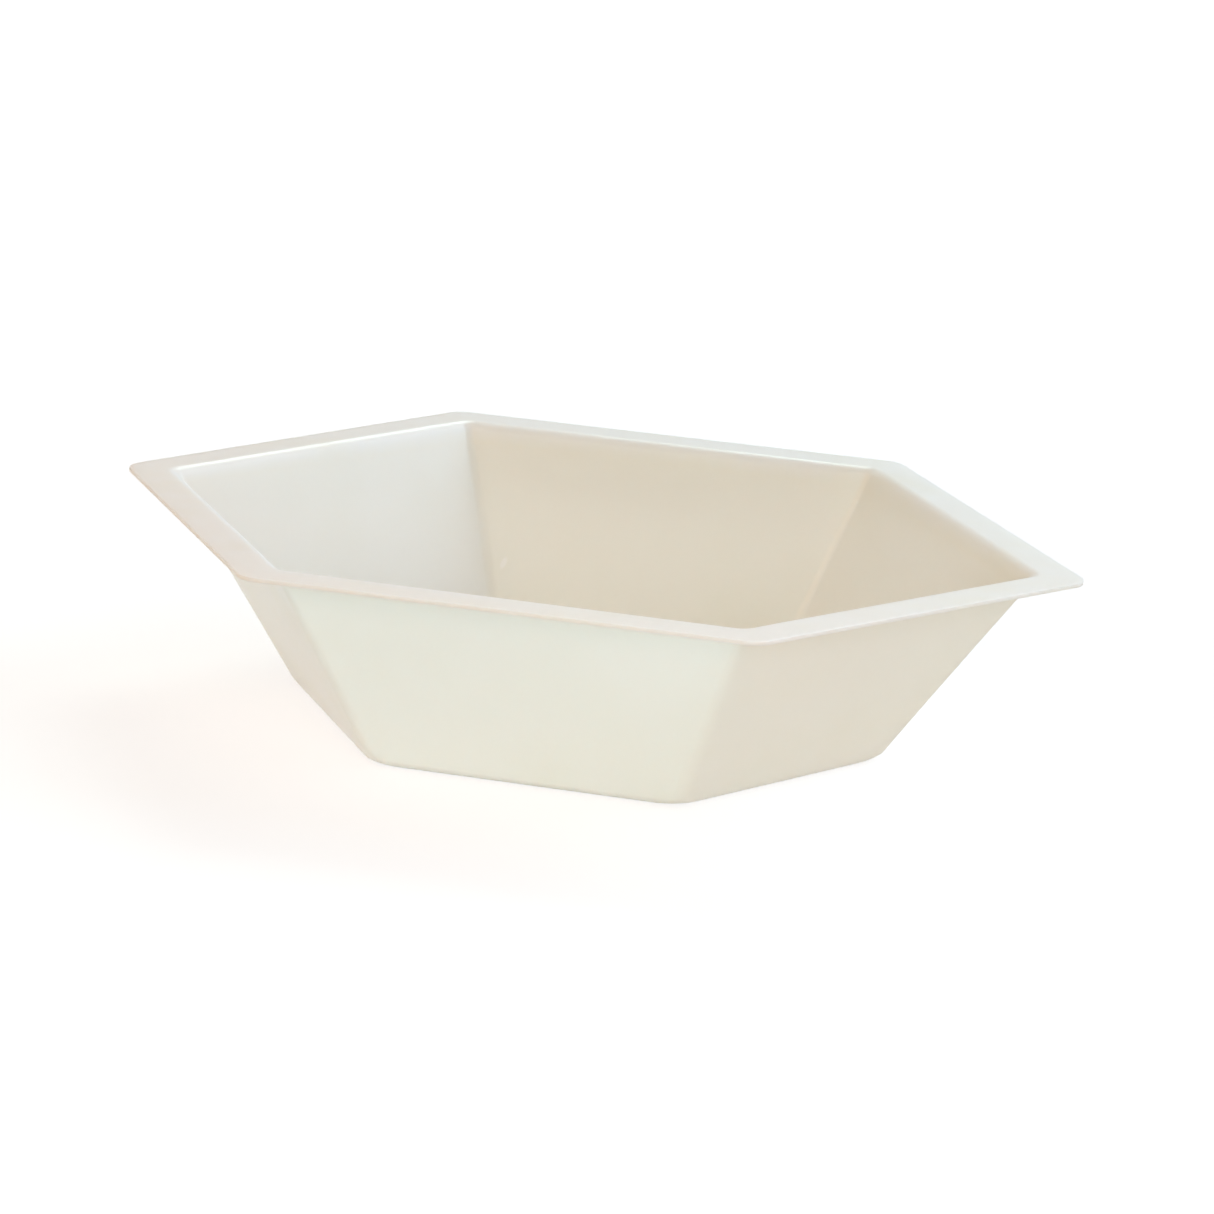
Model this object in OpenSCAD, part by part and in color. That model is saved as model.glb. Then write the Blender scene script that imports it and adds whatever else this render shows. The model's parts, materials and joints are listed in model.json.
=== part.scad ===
// Hexagonal weighing boat, formed in one piece from thin plastic sheet.
// A flat flange with cut edges runs round the top of a six-sided pan, whose two long
// walls and four tip walls lean out from a flat base.
// Frame: millimetres, +X along the boat, +Z up, origin under the middle of the base.

/* [Rim] */
// Length of the rim from tip to tip, before the tips are rounded
rim_length = 92; // [84:0.5:120]
// Width of the rim across its two long sides
rim_width = 66; // [54:0.5:90]
// Length of each long side of the rim, corner to corner before rounding
rim_side = 45.5; // [34:0.5:54]
// Width of the flat flange, from its cut edge to where the plane of the wall meets it
flange_width = 3.9; // [3:0.1:6]
// Radius of the flange's six corners
flange_corner_r = 2.2; // [0.6:0.1:5]
// Drop of the two tips of the rim below its long sides
tip_droop = 0.6; // [0:0.1:1.5]

/* [Pan] */
// Height of the boat, from the surface it stands on to the top of the flange
height = 20; // [14:0.5:30]
// Length of the base from tip to tip, where the outsides of the walls meet the ground
base_length = 57; // [45:0.5:62]
// Width of the base across its two long sides
base_width = 41; // [31:0.5:45]
// Radius of the inside corners between two walls, just under the rim
corner_top_r = 1; // [0.4:0.1:2.5]
// Radius of the inside corners between two walls, just above the base fold
corner_base_r = 1.5; // [0.4:0.1:3]
// Radius of the corners of the flat floor inside the base fold
floor_corner_r = 5.5; // [1:0.1:8]

/* [Sheet] */
// Thickness of the plastic sheet
sheet = 0.4; // [0.25:0.05:0.6]
// Radius of the fold from flange to wall, on the upper face
rim_fold_r = 1.3; // [0.7:0.1:2]
// Radius of the fold from wall to base, on the upper face
base_fold_r = 1.2; // [0.6:0.1:2]

/* [Fineness] */
// Steps round each corner
corner_steps = 8; // [4:1:10]
// Steps round each fold
fold_steps = 6; // [3:1:8]

/* [Hidden] */

// Plan direction that a tip wall faces, measured from +X
tip_angle = atan((rim_length - rim_side) / rim_width);
// Plan directions of the six walls, counter-clockwise, starting at the right-hand back tip wall
wall_angles = [tip_angle, 90, 180 - tip_angle, 180 + tip_angle, 270, 360 - tip_angle];
// Two kinds of wall: 0 is a long wall, 1 is a tip wall
wall_kinds = [1, 0, 1, 1, 0, 1];

// Distance from the vertical axis to the cut edge of the rim, for each kind of wall
rim_reach = [rim_width / 2, rim_length / 2 * cos(tip_angle)];
// Distance from the vertical axis to the foot of the wall's outer face, for each kind
base_reach = [base_width / 2, base_length / 2 * cos(tip_angle)];

// Lean of a wall from the vertical, so that its outer face ends at base_reach and its
// inner face meets the top of the flange at flange_width from the cut edge
function lean(kind) =
    let (run = rim_reach[kind] - flange_width - base_reach[kind])
    atan(run / height) + asin(sheet / norm([run, height]));

// Straight length that a fold of radius r takes from each of the two planes it joins
function fold_reach(kind, r) = r * tan((90 - lean(kind)) / 2);

// Section through one kind of wall, as [distance from the axis, height] from the cut edge
// to the base. depth is 0 for the upper face of the sheet and its thickness for the lower.
function section(kind, depth) =
    let (
        turn = 90 - lean(kind),
        rim_centre = rim_reach[kind] - flange_width + fold_reach(kind, rim_fold_r),
        wall_foot = rim_reach[kind] - flange_width - (height - sheet) * tan(lean(kind)),
        base_centre = wall_foot - fold_reach(kind, base_fold_r),
        rim_r = rim_fold_r - depth,
        base_r = base_fold_r + depth
    )
    [
        [rim_reach[kind], height - depth],
        for (i = [0 : fold_steps])
            let (a = turn * i / fold_steps)
            [rim_centre - rim_r * sin(a), height - rim_fold_r + rim_r * cos(a)],
        for (i = [fold_steps : -1 : 0])
            let (a = turn * i / fold_steps)
            [base_centre + base_r * sin(a), sheet + base_fold_r - base_r * cos(a)]
    ];

// Stations of a section where the walls begin under the rim fold and end at the base fold
wall_top = fold_steps + 1;
wall_end = fold_steps + 2;

// Corner radius at one station of a face, with the upper face's section to measure from.
// Round the rim fold the corner keeps its centre, so the radius grows outwards. Round the
// base fold it widens from corner_base_r to floor_corner_r.
function corner_r(station, distance, upper) =
    station == 0 ? flange_corner_r
    : station <= wall_top ? corner_top_r + distance - upper[wall_top][0]
    : let (turned = (station - wall_end) / fold_steps)
      corner_base_r + (floor_corner_r - corner_base_r) * turned + distance - upper[station][0];

// Fall of the rim below its long sides at one distance along the boat
function droop(x) = tip_droop * max(0, (abs(x) - rim_side / 2) / ((rim_length - rim_side) / 2));

// One ring of points round the boat, with a rounded corner between each pair of walls.
// fall is 1 for a ring that follows the droop of the rim and 0 for a level one.
function ring(points, r, fall) = [
    for (k = [0 : 5])
        let (
            from = wall_angles[k],
            to = k < 5 ? wall_angles[k + 1] : wall_angles[0] + 360,
            first = points[wall_kinds[k]],
            second = points[wall_kinds[(k + 1) % 6]],
            mid = (from + to) / 2,
            half = (to - from) / 2,
            // The corner's centre stands r inside both walls
            along = (first[0] + second[0] - 2 * r) / (2 * cos(half)),
            across = (second[0] - first[0]) / (2 * sin(half)),
            centre = [
                along * cos(mid) - across * sin(mid),
                along * sin(mid) + across * cos(mid)
            ]
        )
        for (i = [0 : corner_steps])
            let (
                s = i / corner_steps,
                a = from + (to - from) * s,
                x = centre[0] + r * cos(a)
            )
            [x, centre[1] + r * sin(a), first[1] * (1 - s) + second[1] * s - fall * droop(x)]
];

// Rings of one face of the sheet, from the cut edge to the base
function face_rings(depth) =
    let (upper = section(0, 0), long = section(0, depth), tip = section(1, depth))
    [
        for (i = [0 : len(long) - 1])
            ring([long[i], tip[i]], corner_r(i, long[i][0], upper), i <= wall_top ? 1 : 0)
    ];

// A list in the opposite order
function backwards(list) = [for (i = [len(list) - 1 : -1 : 0]) list[i]];

// Solid between the upper and the lower face, closed by the cut edge at the rim
module formed_sheet() {
    upper = face_rings(0);
    lower = backwards(face_rings(sheet));
    rings = concat(upper, lower);
    around = len(rings[0]);
    last_upper = len(upper) - 1;
    sides = [
        for (i = [0 : len(rings) - 1])
            if (i != last_upper)
                for (j = [0 : around - 1])
                    let (below = (i + 1) % len(rings), next = (j + 1) % around)
                    [
                        i * around + j,
                        below * around + j,
                        below * around + next,
                        i * around + next
                    ]
    ];
    floor_top = [for (j = [around - 1 : -1 : 0]) last_upper * around + j];
    floor_under = [for (j = [0 : around - 1]) (last_upper + 1) * around + j];
    polyhedron(
        points = [for (r = rings) each r],
        faces = concat(sides, [floor_top, floor_under]),
        convexity = 6
    );
}

module boat() {
    color("#ece9df")
        formed_sheet();
}

boat();
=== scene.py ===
"""Hexagonal weighing boat, vacuum formed from one thin sheet of milky polystyrene.

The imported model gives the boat's body, its height and its width. The sheet is lofted here
from rounded outlines, with its folds, its cut edge and its satin skin, and it stands for the
plain solid on a pale table in soft light.
"""

import json
from math import asin, atan2, cos, hypot, pi, radians, sin, sqrt, tan

import bmesh
import bpy
from bpy.props import FloatProperty, FloatVectorProperty, IntProperty, PointerProperty
from mathutils import Matrix, Vector

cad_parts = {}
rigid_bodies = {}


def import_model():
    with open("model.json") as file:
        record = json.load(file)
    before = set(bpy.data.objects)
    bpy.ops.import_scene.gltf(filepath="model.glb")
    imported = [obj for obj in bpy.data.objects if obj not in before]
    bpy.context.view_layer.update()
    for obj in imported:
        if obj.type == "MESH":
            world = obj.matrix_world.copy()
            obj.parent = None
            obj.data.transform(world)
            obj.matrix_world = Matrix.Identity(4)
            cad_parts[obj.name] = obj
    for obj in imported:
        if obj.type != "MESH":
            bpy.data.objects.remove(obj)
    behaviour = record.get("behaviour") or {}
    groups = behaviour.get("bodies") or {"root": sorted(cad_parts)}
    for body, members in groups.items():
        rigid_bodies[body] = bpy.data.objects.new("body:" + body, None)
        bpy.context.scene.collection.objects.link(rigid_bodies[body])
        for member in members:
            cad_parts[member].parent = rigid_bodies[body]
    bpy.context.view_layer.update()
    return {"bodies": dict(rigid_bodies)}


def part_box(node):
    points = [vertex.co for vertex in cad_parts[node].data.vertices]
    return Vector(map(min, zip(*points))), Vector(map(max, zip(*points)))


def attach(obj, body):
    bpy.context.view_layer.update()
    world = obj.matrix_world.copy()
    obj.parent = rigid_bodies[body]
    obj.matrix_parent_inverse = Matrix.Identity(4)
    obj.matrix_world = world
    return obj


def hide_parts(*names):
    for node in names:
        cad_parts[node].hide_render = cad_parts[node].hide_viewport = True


bl_info = {
    "name": "Weighing Boat",
    "version": (1, 0, 0),
    "blender": (4, 5, 0),
    "location": "View3D > Sidebar > Weighing Boat",
    "description": "Forms a hexagonal weighing boat from thin plastic sheet and lights it",
    "category": "Add Mesh",
}

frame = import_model()
NODE = "boat"
# The whole boat is one body
(BODY,) = frame["bodies"]
LOWEST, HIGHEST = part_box(NODE)

MM = 0.001
# Space between neighbouring outlines while they are joined
SPREAD = 5 * MM
# A level edge longer than this is a straight side, and a shorter one is part of a corner
STRAIGHT = 5 * MM
# Heights nearer than this are taken as level
LEVEL = 1e-7
# A turn sharper than this is the sheet's cut edge, which is rounded in this many steps
SHARP = radians(50)
EDGE_STEPS = 3
# Side of the square picture, in pixels, that the camera's framing is worked out for
PICTURE = 1214
SENSOR_MM = 36.0
# Nearest distance that the camera draws
NEAR = 0.01
# Half the width of the table
TABLE_REACH = 3.0
# Height of the point that the lamps face
LAMP_AIM = 10 * MM
# Share of the light that the table shows the eye as shadow, and its steady white near the
# boat, which grows to full white between these two distances
SHADOW = 0.3
GLOW = 0.8
SHADOW_END = 0.09
WHITE_START = 0.3
# The foot's colour, painted light that lightens the lower walls for the extra light that the
# thinner sheet lets through, starts at this share of the height and is full on the ground
FOOT_START = 0.6
# The flange's colour, its undrawn plastic and partly painted light where its flat top faces
# the lamps, is full to the first depth below the top and fades over the second
RIM_DEPTH = 0.6 * MM
RIM_FADE = 1.2 * MM
# The rubber clouds the sheet in soft patches about this far apart. Their colour comes in
# between the first two values of the noise, and their blurred shine between the others.
CLOUD = 11 * MM
CLOUD_TINT = (0.45, 0.75)
CLOUD_SHINE = (0.3, 0.7)
# How much more or less the clouding blurs the shine
BLUR_SPREAD = 0.03
# Blasted mould grain of about 0.05 mm, drawn six times as coarse so that it shows, and its
# depth, which is kept that of the real grain
GRAIN = 0.3 * MM
GRAIN_DEPTH = 0.003 * MM
# One light fleck in the back wall, a small lighter spot in the colour: its middle and its half
# sizes
FLECK_PLACE = (-14.7 * MM, 23.4 * MM, 7.4 * MM)
FLECK_REACH = (0.35 * MM, 2.0 * MM, 0.75 * MM)
FLECK_LEAN = radians(20)
# Soft square lamps: azimuth and elevation in degrees, distance and side in metres, power in
# watts and colour. Cool light comes from behind, and a warmer mix from the front and left.
LAMPS = {
    "window": (120, 35, 1.0, 0.8, 7.35, "#d5ebff"),
    "sky": (180, 50, 1.0, 0.4, 3.87, "#e8fffd"),
    "front": (0, 10, 0.35, 0.13, 0.274, "#bff9ff"),
    "room": (30, 20, 0.35, 0.13, 0.385, "#ffe6e5"),
    "desk": (0, 35, 0.35, 0.2, 0.079, "#ffc200"),
    "side": (300, 35, 0.35, 0.2, 0.370, "#ffb977"),
}


def linear(code):
    """Linear RGB of an sRGB hex colour such as '#ece9df'."""
    shares = [int(code[i : i + 2], 16) / 255 for i in (1, 3, 5)]
    return [s / 12.92 if s <= 0.04045 else ((s + 0.055) / 1.055) ** 2.4 for s in shares]


def length(name, description, default):
    """A length property in metres, shown in the scene's own unit."""
    return FloatProperty(
        name=name,
        description=description,
        default=default,
        min=0.0,
        precision=5,
        subtype="DISTANCE",
        unit="LENGTH",
    )


def colour(name, description, default):
    """A colour property that starts from an sRGB hex colour."""
    return FloatVectorProperty(
        name=name,
        description=description,
        subtype="COLOR",
        size=3,
        min=0.0,
        max=1.0,
        default=linear(default),
    )


class SheetSizes(bpy.types.PropertyGroup):
    """Sizes of the formed sheet."""

    rim_length: length("Rim Length", "Tip to tip over the rim, before rounding", 92 * MM)
    rim_width: length("Rim Width", "Over the two long sides of the rim", HIGHEST.y - LOWEST.y)
    rim_side: length("Rim Side", "Length of each long side, before rounding", 45.5 * MM)
    flange_width: length("Flange Width", "From the cut edge to the plane of the wall", 3.9 * MM)
    tip_droop: length("Tip Droop", "Drop of the two tips below the long sides", 0.6 * MM)
    height: length("Height", "From the ground to the top of the flange", HIGHEST.z - LOWEST.z)
    base_length: length("Base Length", "Tip to tip where the walls meet the ground", 57 * MM)
    base_width: length("Base Width", "Across the base where the walls meet the ground", 41 * MM)
    sheet: length("Sheet", "Thickness of the sheet", 0.4 * MM)
    rim_fold_r: length("Rim Fold Radius", "Fold from flange to wall, upper face", 1.3 * MM)
    base_fold_r: length("Base Fold Radius", "Fold from wall to floor, upper face", 1.2 * MM)
    flange_corner_r: length("Flange Corner Radius", "Corners of the cut edge", 2.2 * MM)
    corner_top_r: length("Upper Corner Radius", "Corners between walls, at the top", 1.0 * MM)
    corner_base_r: length("Lower Corner Radius", "Corners between walls, at the foot", 1.5 * MM)
    floor_corner_r: length("Floor Corner Radius", "Corners of the flat floor", 5.5 * MM)
    edge_r: length("Edge Radius", "Softness that the trimming knife leaves", 0.08 * MM)
    corner_steps: IntProperty(
        name="Corner Steps", description="Faces round each corner", default=10, min=2
    )
    fold_steps: IntProperty(
        name="Fold Steps", description="Faces round each fold", default=10, min=2
    )
    wall_steps: IntProperty(
        name="Wall Steps", description="Faces up and along each wall", default=12, min=1
    )


class SheetFinish(bpy.types.PropertyGroup):
    """Colours and surface of the plastic."""

    wall: colour("Wall", "Colour of the plastic in the walls", "#f5f5e7")
    # Cooler and whiter undrawn plastic, and partly painted light where the flange's top faces
    # the lamps
    rim: colour("Rim", "Colour of the undrawn plastic in the flange", "#f5f9f4")
    # Painted light: the lower walls lighter for the extra light that the thinner sheet lets
    # through
    foot: colour("Foot", "Colour of the thinned plastic at the foot of the walls", "#f6f6ea")
    cloud: colour("Cloud", "Colour where the rubber clouds the plastic most", "#f4f4e4")
    # The fleck: a small lighter spot in the colour of the back wall
    fleck: colour("Fleck", "Colour of a fleck of unmixed rubber", "#fbfbf2")
    glow: length("Glow", "How far light soaks through the plastic", 2.0 * MM)
    roughness: FloatProperty(
        name="Roughness", description="Blur of the satin shine", default=0.35, min=0, max=1
    )


class StageSettings(bpy.types.PropertyGroup):
    """Camera, table and lamps."""

    azimuth: FloatProperty(
        name="Azimuth",
        description="Where the camera stands round the boat, from the long near side",
        default=radians(13.411),
        subtype="ANGLE",
        unit="ROTATION",
    )
    elevation: FloatProperty(
        name="Elevation",
        description="How high the camera looks down from",
        default=radians(16.526),
        subtype="ANGLE",
        unit="ROTATION",
    )
    roll: FloatProperty(
        name="Roll",
        description="Turn of the picture about the line of sight",
        default=radians(3.353),
        subtype="ANGLE",
        unit="ROTATION",
    )
    distance: length("Distance", "From the camera to the point it looks at", 355.65 * MM)
    focal_pixels: FloatProperty(
        name="Focal Length",
        description="Focal length in pixels of the square picture",
        default=3830.6,
        min=1,
    )
    target: FloatVectorProperty(
        name="Target",
        description="Point that the camera looks at",
        default=(1.737 * MM, 0.0, 11.345 * MM),
        size=3,
        subtype="XYZ",
        unit="LENGTH",
        precision=5,
    )
    table: colour("Table", "Pale beige that the table casts back as light", "#eedeca")
    fill: FloatProperty(
        name="Fill", description="Strength of the even light all round", default=0.0, min=0.0
    )


# --- Form of the sheet ---------------------------------------------------------------


class Wall:
    """Section through one kind of wall, on the upper face of the sheet."""

    def __init__(self, sizes, rim_reach, base_reach):
        self.sizes = sizes
        self.rim_reach = rim_reach
        top_reach = rim_reach - sizes.flange_width
        run = top_reach - base_reach
        lean = atan2(run, sizes.height) + asin(sizes.sheet / hypot(run, sizes.height))
        self.slope = tan(lean)
        self.turn = pi / 2 - lean
        self.top_reach = top_reach
        foot = top_reach - (sizes.height - sizes.sheet) * self.slope
        self.rim_centre = top_reach + sizes.rim_fold_r * tan(self.turn / 2)
        self.base_centre = foot - sizes.base_fold_r * tan(self.turn / 2)

    def reach(self, z):
        """Distance from the middle of the boat to the sheet at height z."""
        sizes = self.sizes
        rim_fall = sizes.height - z
        base_rise = z - sizes.sheet
        if rim_fall < sizes.rim_fold_r * (1 - cos(self.turn)):
            along = rim_fall * (2 * sizes.rim_fold_r - rim_fall)
            return self.rim_centre - sqrt(max(0.0, along))
        if base_rise < sizes.base_fold_r * (1 - cos(self.turn)):
            along = base_rise * (2 * sizes.base_fold_r - base_rise)
            return self.base_centre + sqrt(max(0.0, along))
        return self.top_reach - rim_fall * self.slope


class Form:
    """The boat's two kinds of wall and the outlines that the sheet is lofted through."""

    def __init__(self, sizes):
        self.sizes = sizes
        # Plan direction that a tip wall faces, measured from the boat's length
        self.tip_angle = atan2(sizes.rim_length - sizes.rim_side, sizes.rim_width)
        across = cos(self.tip_angle)
        self.long = Wall(sizes, sizes.rim_width / 2, sizes.base_width / 2)
        self.tip = Wall(sizes, sizes.rim_length / 2 * across, sizes.base_length / 2 * across)
        turn = max(self.long.turn, self.tip.turn)
        self.wall_top = sizes.height - sizes.rim_fold_r * (1 - cos(turn))
        self.wall_foot = sizes.sheet + sizes.base_fold_r * (1 - cos(turn))
        self.turn = turn

    def corner_r(self, z):
        """Radius of the corners at height z."""
        sizes = self.sizes
        if z >= self.wall_top:
            return sizes.corner_top_r + self.long.reach(z) - self.long.reach(self.wall_top)
        if z >= self.wall_foot:
            down = (self.wall_top - z) / (self.wall_top - self.wall_foot)
            return sizes.corner_top_r + (sizes.corner_base_r - sizes.corner_top_r) * down
        rise = 1 - (z - sizes.sheet) / sizes.base_fold_r
        turned = (self.turn - atan2(sqrt(max(0.0, 1 - rise * rise)), rise)) / self.turn
        return sizes.corner_base_r + (sizes.floor_corner_r - sizes.corner_base_r) * turned

    def stations(self):
        """The outlines from the cut edge to the floor: long reach, tip reach, height, radius."""
        sizes = self.sizes
        yield self.long.rim_reach, self.tip.rim_reach, sizes.height, sizes.flange_corner_r
        steps = sizes.fold_steps
        angles = [self.turn * i / steps for i in range(steps + 1)]
        heights = [sizes.height - sizes.rim_fold_r * (1 - cos(a)) for a in angles]
        for i in range(1, sizes.wall_steps):
            down = i / sizes.wall_steps
            heights.append(self.wall_top + (self.wall_foot - self.wall_top) * down)
        heights += [sizes.sheet + sizes.base_fold_r * (1 - cos(a)) for a in reversed(angles)]
        for z in heights:
            yield self.long.reach(z), self.tip.reach(z), z, self.corner_r(z)

    def droop(self, place):
        """Fall of the sheet at a place: all of it at the rim, none at the foot of a wall."""
        sizes = self.sizes
        beyond = (abs(place.x) - sizes.rim_side / 2) / ((sizes.rim_length - sizes.rim_side) / 2)
        share = (place.z - self.wall_foot) / (self.wall_top - self.wall_foot)
        return sizes.tip_droop * max(0.0, beyond) * min(1.0, max(0.0, share))


def add_outline(bm, form, long_reach, tip_reach, z, radius):
    """Adds a flat six-sided face at height z with round corners, and returns it."""
    tip = tip_reach / cos(form.tip_angle)
    side = (tip_reach - long_reach * sin(form.tip_angle)) / cos(form.tip_angle)
    plan = [
        (tip, 0.0),
        (side, long_reach),
        (-side, long_reach),
        (-tip, 0.0),
        (-side, -long_reach),
        (side, -long_reach),
    ]
    others = set(bm.faces)
    corners = [bm.verts.new((x, y, z)) for x, y in plan]
    bm.faces.new(corners)
    tips = [corners[0], corners[3]]
    shoulders = [v for v in corners if v not in tips]
    # Half of the turn that the outline makes at each kind of corner
    turns = [(tips, form.tip_angle), (shoulders, (pi / 2 - form.tip_angle) / 2)]
    for group, half_turn in turns:
        bmesh.ops.bevel(
            bm,
            geom=group,
            affect="VERTICES",
            offset_type="ABSOLUTE",
            offset=radius * tan(half_turn),
            segments=form.sizes.corner_steps,
            profile=0.5,
            material=-1,
        )
    return next(face for face in bm.faces if face not in others)


def loft(sizes, form):
    """The upper face of the sheet, from its cut edge down to the floor."""
    bm = bmesh.new()
    rings = []
    for long_reach, tip_reach, z, radius in form.stations():
        # The outlines are joined while they stand apart, where each one's neighbour is plain
        apart = -SPREAD * len(rings)
        face = add_outline(bm, form, long_reach, tip_reach, apart, radius)
        rings.append((face, list(face.verts), list(face.edges), z - apart))
    floor = rings[-1][0]
    bmesh.ops.delete(bm, geom=[f for f in bm.faces if f is not floor], context="FACES_ONLY")
    for (_, _, above, _), (_, _, below, _) in zip(rings, rings[1:]):
        bmesh.ops.bridge_loops(bm, edges=above + below)
    for _, verts, _, rise in rings:
        bmesh.ops.translate(bm, verts=verts, vec=(0, 0, rise))
    return bm


def form_sheet(sizes):
    """The finished boat as an object."""
    form = Form(sizes)
    bm = loft(sizes, form)
    straight = [
        e
        for e in bm.edges
        if abs(e.verts[0].co.z - e.verts[1].co.z) < LEVEL and e.calc_length() > STRAIGHT
    ]
    bmesh.ops.subdivide_edges(bm, edges=straight, cuts=sizes.wall_steps - 1, use_grid_fill=True)
    for vert in bm.verts:
        vert.co.z -= form.droop(vert.co)
    bmesh.ops.recalc_face_normals(bm, faces=bm.faces)
    floor = min(bm.faces, key=lambda f: f.calc_center_median().z)
    if floor.normal.z < 0:
        bmesh.ops.reverse_faces(bm, faces=bm.faces)
    mesh = bpy.data.meshes.new("formed_boat")
    bm.to_mesh(mesh)
    bm.free()
    boat = bpy.data.objects.new("formed_boat", mesh)
    bpy.context.scene.collection.objects.link(boat)
    mesh.shade_smooth()

    wall = boat.modifiers.new("sheet", "SOLIDIFY")
    wall.thickness = sizes.sheet
    wall.offset = -1
    wall.use_even_offset = True
    edge = boat.modifiers.new("cut edge", "BEVEL")
    edge.width = sizes.edge_r
    edge.segments = EDGE_STEPS
    edge.limit_method = "ANGLE"
    edge.angle_limit = SHARP
    boat.modifiers.new("flat walls", "WEIGHTED_NORMAL")
    return boat


# --- Plastic ---------------------------------------------------------------------------


def add_node(tree, kind, inputs=None, **settings):
    """Adds a node, sets its properties, and fills its inputs with values or links."""
    node = tree.nodes.new(kind)
    for name, value in settings.items():
        setattr(node, name, value)
    for name, value in (inputs or {}).items():
        if isinstance(value, bpy.types.NodeSocket):
            tree.links.new(value, node.inputs[name])
        else:
            node.inputs[name].default_value = value
    return node


def new_material(name):
    """An empty node material and its tree."""
    material = bpy.data.materials.new(name)
    material.use_nodes = True
    material.node_tree.nodes.clear()
    return material, material.node_tree


def fleck(tree, place):
    """1 inside the small fleck in the back wall, soft at its edge, and 0 elsewhere."""
    near = add_node(
        tree,
        "ShaderNodeMapping",
        {
            "Vector": place,
            "Location": FLECK_PLACE,
            "Rotation": (0.0, FLECK_LEAN, 0.0),
            "Scale": FLECK_REACH,
        },
        vector_type="TEXTURE",
    )
    away = add_node(tree, "ShaderNodeVectorMath", {0: near.outputs[0]}, operation="LENGTH")
    edge = {"Value": away.outputs["Value"], "From Min": 1.0, "From Max": 0.5}
    return add_node(tree, "ShaderNodeMapRange", edge).outputs[0]


def milky_polystyrene(finish, sizes):
    """High-impact polystyrene sheet, clouded white and vacuum formed."""
    # The rubber in it clouds the plastic: light soaks in and leaves by the far face, so the
    # walls glow. The hot sheet takes the fine blasted grain of its mould, so it shines like
    # satin.
    # Drawing thins it from the rim down; the lighter colour at the foot is painted light for the
    # extra light that the thinner sheet lets through, and the flange's cooler, whiter colour is
    # its undrawn plastic and partly painted light where its flat top faces the lamps.
    material, tree = new_material("milky high-impact polystyrene")
    place = add_node(tree, "ShaderNodeTexCoord").outputs["Object"]
    height = add_node(tree, "ShaderNodeSeparateXYZ", {0: place}).outputs["Z"]
    cloud = add_node(
        tree, "ShaderNodeTexNoise", {"Vector": place, "Scale": 1 / CLOUD, "Detail": 2.0}
    ).outputs[0]
    grain = add_node(
        tree, "ShaderNodeTexNoise", {"Vector": place, "Scale": 1 / GRAIN, "Detail": 1.0}
    ).outputs[0]

    rim_foot = sizes.height - RIM_DEPTH
    # What drives each layer of colour, the values at which it starts and is full, its colour
    layers = (
        # Painted light: lighter low on the walls, for the extra light through the thinner sheet
        (height, sizes.height * FOOT_START, 0.0, finish.foot),
        # The flange: undrawn plastic, and partly painted light where its flat top faces the
        # lamps
        (height, rim_foot - RIM_FADE, rim_foot, finish.rim),
        (cloud, *CLOUD_TINT, finish.cloud),
        (fleck(tree, place), 0.0, 1.0, finish.fleck),
    )
    tint = (*finish.wall, 1.0)
    for driver, start, full, layer in layers:
        share = add_node(
            tree, "ShaderNodeMapRange", {"Value": driver, "From Min": start, "From Max": full}
        ).outputs[0]
        # Sockets 6 and 7 are the two colours of the mix
        tint = add_node(
            tree, "ShaderNodeMix", {0: share, 6: tint, 7: (*layer, 1.0)}, data_type="RGBA"
        ).outputs[2]

    # The cloudier plastic takes a little more of the grain
    spread = {
        "Value": cloud,
        "From Min": CLOUD_SHINE[0],
        "From Max": CLOUD_SHINE[1],
        "To Min": finish.roughness - BLUR_SPREAD,
        "To Max": finish.roughness + BLUR_SPREAD,
    }
    blur = add_node(tree, "ShaderNodeMapRange", spread).outputs[0]
    skin = add_node(tree, "ShaderNodeBump", {"Height": grain, "Distance": GRAIN_DEPTH})
    body = add_node(
        tree,
        "ShaderNodeBsdfPrincipled",
        {
            "Base Color": tint,
            "Roughness": blur,
            "IOR": 1.5,
            "Normal": skin.outputs[0],
            "Subsurface Weight": 1.0,
            "Subsurface Radius": (1.0, 1.0, 1.0),
            "Subsurface Scale": finish.glow,
        },
    )
    add_node(tree, "ShaderNodeOutputMaterial", {"Surface": body.outputs["BSDF"]})
    return material


def pale_table(stage):
    """Matt painted board: it reads as plain white and keeps the boat's soft shadow."""
    # Paint scatters light evenly, so the board has no shine, and its beige warms the light
    # that it casts back at the boat
    material, tree = new_material("matt painted board")
    path = add_node(tree, "ShaderNodeLightPath")
    board = add_node(tree, "ShaderNodeBsdfDiffuse", {"Color": (*stage.table, 1.0)})
    # What the eye and every shine see: a weak shadow over a steady white
    shade = add_node(tree, "ShaderNodeBsdfDiffuse", {"Color": (*[SHADOW] * 3, 1.0)})
    place = add_node(tree, "ShaderNodeTexCoord").outputs["Object"]
    away = add_node(tree, "ShaderNodeVectorMath", {0: place}, operation="LENGTH")
    whitening = {
        "Value": away.outputs["Value"],
        "From Min": SHADOW_END,
        "From Max": WHITE_START,
        "To Min": GLOW,
        "To Max": 1.0,
    }
    strength = add_node(tree, "ShaderNodeMapRange", whitening).outputs[0]
    glow = add_node(tree, "ShaderNodeEmission", {"Strength": strength})
    seen = add_node(
        tree, "ShaderNodeAddShader", {0: shade.outputs[0], 1: glow.outputs[0]}
    )
    surface = add_node(
        tree,
        "ShaderNodeMixShader",
        {0: seen_directly(tree, path), 1: board.outputs[0], 2: seen.outputs[0]},
    )
    add_node(tree, "ShaderNodeOutputMaterial", {"Surface": surface.outputs[0]})
    return material


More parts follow.
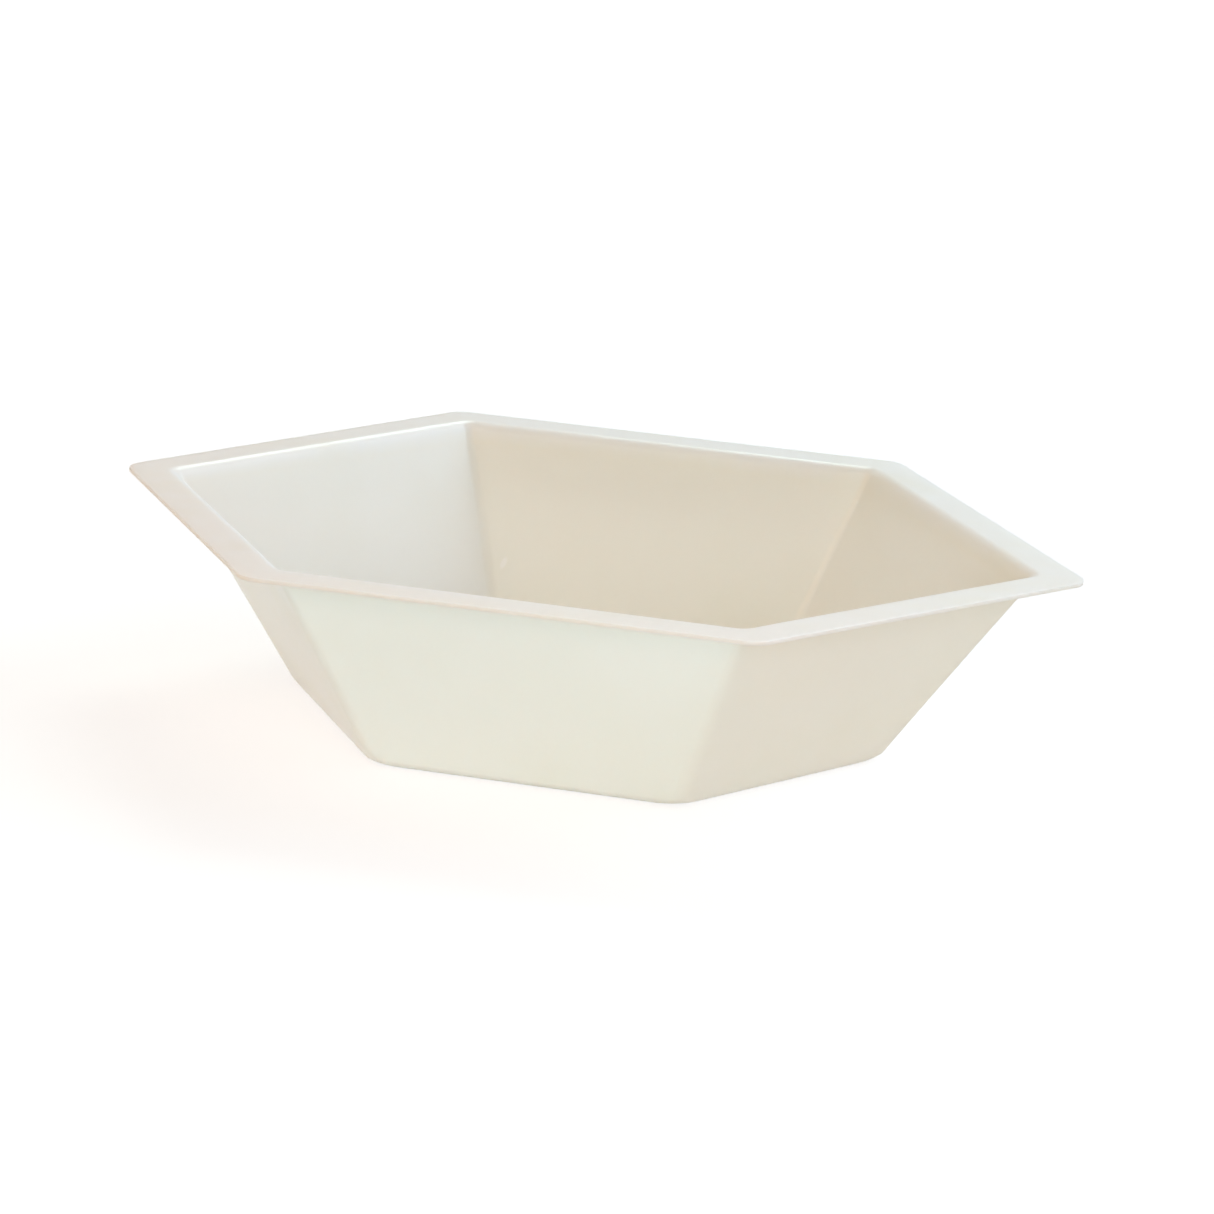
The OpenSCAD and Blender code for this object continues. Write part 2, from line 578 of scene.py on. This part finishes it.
def seen_directly(tree, path):
    """1 for what the camera sees itself, in a shine or through something clear."""
    rays = ("Is Camera Ray", "Is Glossy Ray", "Is Transmission Ray")
    total = path.outputs[rays[0]]
    for ray in rays[1:]:
        total = add_node(
            tree, "ShaderNodeMath", {0: total, 1: path.outputs[ray]}, operation="MAXIMUM"
        ).outputs[0]
    return total


# --- Stage -----------------------------------------------------------------------------


def aim(place, target, roll=0.0):
    """Matrix that stands at place and looks at target, with the picture turned by roll."""
    back = (place - target).normalized()
    right = Vector((0, 0, 1)).cross(back).normalized()
    up = back.cross(right)
    side = right * cos(roll) + up * sin(roll)
    top = up * cos(roll) - right * sin(roll)
    turn = Matrix((side, top, back)).transposed().to_4x4()
    return Matrix.Translation(place) @ turn


def direction(azimuth, elevation):
    """Unit vector towards a bearing round the boat, from the near side, and a height."""
    return Vector(
        (
            sin(azimuth) * cos(elevation),
            -cos(azimuth) * cos(elevation),
            sin(elevation),
        )
    )


def add_camera(stage):
    """Camera at the chosen angle."""
    camera = bpy.data.cameras.new("camera")
    camera.sensor_width = SENSOR_MM
    camera.lens = stage.focal_pixels * SENSOR_MM / PICTURE
    camera.clip_start = NEAR
    viewer = bpy.data.objects.new("camera", camera)
    target = Vector(stage.target)
    place = target + direction(stage.azimuth, stage.elevation) * stage.distance
    viewer.matrix_world = aim(place, target, stage.roll)
    bpy.context.scene.collection.objects.link(viewer)
    bpy.context.scene.camera = viewer


def add_table(stage):
    """Wide level board that the boat stands on."""
    bm = bmesh.new()
    bmesh.ops.create_grid(bm, x_segments=1, y_segments=1, size=TABLE_REACH)
    mesh = bpy.data.meshes.new("table")
    bm.to_mesh(mesh)
    bm.free()
    table = bpy.data.objects.new("table", mesh)
    table.data.materials.append(pale_table(stage))
    bpy.context.scene.collection.objects.link(table)


def add_lamp(name, azimuth, elevation, distance, size, power, tint):
    """Soft square lamp that faces the boat."""
    light = bpy.data.lights.new(name, "AREA")
    light.shape = "SQUARE"
    light.size = size
    light.energy = power
    light.color = linear(tint)
    lamp = bpy.data.objects.new(name, light)
    middle = Vector((0, 0, LAMP_AIM))
    place = middle + direction(radians(azimuth), radians(elevation)) * distance
    lamp.matrix_world = aim(place, middle)
    bpy.context.scene.collection.objects.link(lamp)


def light_world(stage):
    """Surroundings that light the boat by the fill alone, and look plain white."""
    world = bpy.data.worlds.new("surroundings")
    bpy.context.scene.world = world
    world.use_nodes = True
    tree = world.node_tree
    tree.nodes.clear()
    path = add_node(tree, "ShaderNodeLightPath")
    fill, white = [
        add_node(
            tree, "ShaderNodeBackground", {"Color": (1.0, 1.0, 1.0, 1.0), "Strength": strength}
        )
        for strength in (stage.fill, 1.0)
    ]
    shown = add_node(
        tree,
        "ShaderNodeMixShader",
        {0: seen_directly(tree, path), 1: fill.outputs[0], 2: white.outputs[0]},
    )
    add_node(tree, "ShaderNodeOutputWorld", {"Surface": shown.outputs[0]})


class BOAT_OT_form_sheet(bpy.types.Operator):
    """Form the boat from one thin sheet, with round folds, round corners and a cut edge"""

    bl_idname = "weighing_boat.form_sheet"
    bl_label = "Form the Boat"
    bl_options = {"REGISTER", "UNDO"}

    def execute(self, context):
        sizes = context.scene.boat_sizes
        boat = form_sheet(sizes)
        boat.data.materials.append(milky_polystyrene(context.scene.boat_finish, sizes))
        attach(boat, BODY)
        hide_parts(NODE)
        return {"FINISHED"}


class BOAT_OT_set_stage(bpy.types.Operator):
    """Lay the pale table, hang the soft lamps and place the camera"""

    bl_idname = "weighing_boat.set_stage"
    bl_label = "Set the Stage"
    bl_options = {"REGISTER", "UNDO"}

    def execute(self, context):
        stage = context.scene.boat_stage
        add_camera(stage)
        add_table(stage)
        for name, lamp in LAMPS.items():
            add_lamp(name, *lamp)
        light_world(stage)
        context.scene.view_settings.view_transform = "Standard"
        return {"FINISHED"}


class BOAT_PT_sidebar(bpy.types.Panel):
    """Lists the steps that make the boat and its stage"""

    bl_label = "Weighing Boat"
    bl_idname = "BOAT_PT_sidebar"
    bl_space_type = "VIEW_3D"
    bl_region_type = "UI"
    bl_category = "Weighing Boat"

    def draw(self, context):
        column = self.layout.column(align=True)
        for operator in (BOAT_OT_form_sheet, BOAT_OT_set_stage):
            column.operator(operator.bl_idname)


GROUPS = {
    "boat_sizes": SheetSizes,
    "boat_finish": SheetFinish,
    "boat_stage": StageSettings,
}
CLASSES = (*GROUPS.values(), BOAT_OT_form_sheet, BOAT_OT_set_stage, BOAT_PT_sidebar)


def register():
    for cls in CLASSES:
        bpy.utils.register_class(cls)
    for name, group in GROUPS.items():
        setattr(bpy.types.Scene, name, PointerProperty(type=group))


def unregister():
    for name in GROUPS:
        delattr(bpy.types.Scene, name)
    for cls in reversed(CLASSES):
        bpy.utils.unregister_class(cls)


def main():
    register()
    bpy.ops.weighing_boat.set_stage()
    bpy.ops.weighing_boat.form_sheet()


if __name__ == "__main__":
    main()
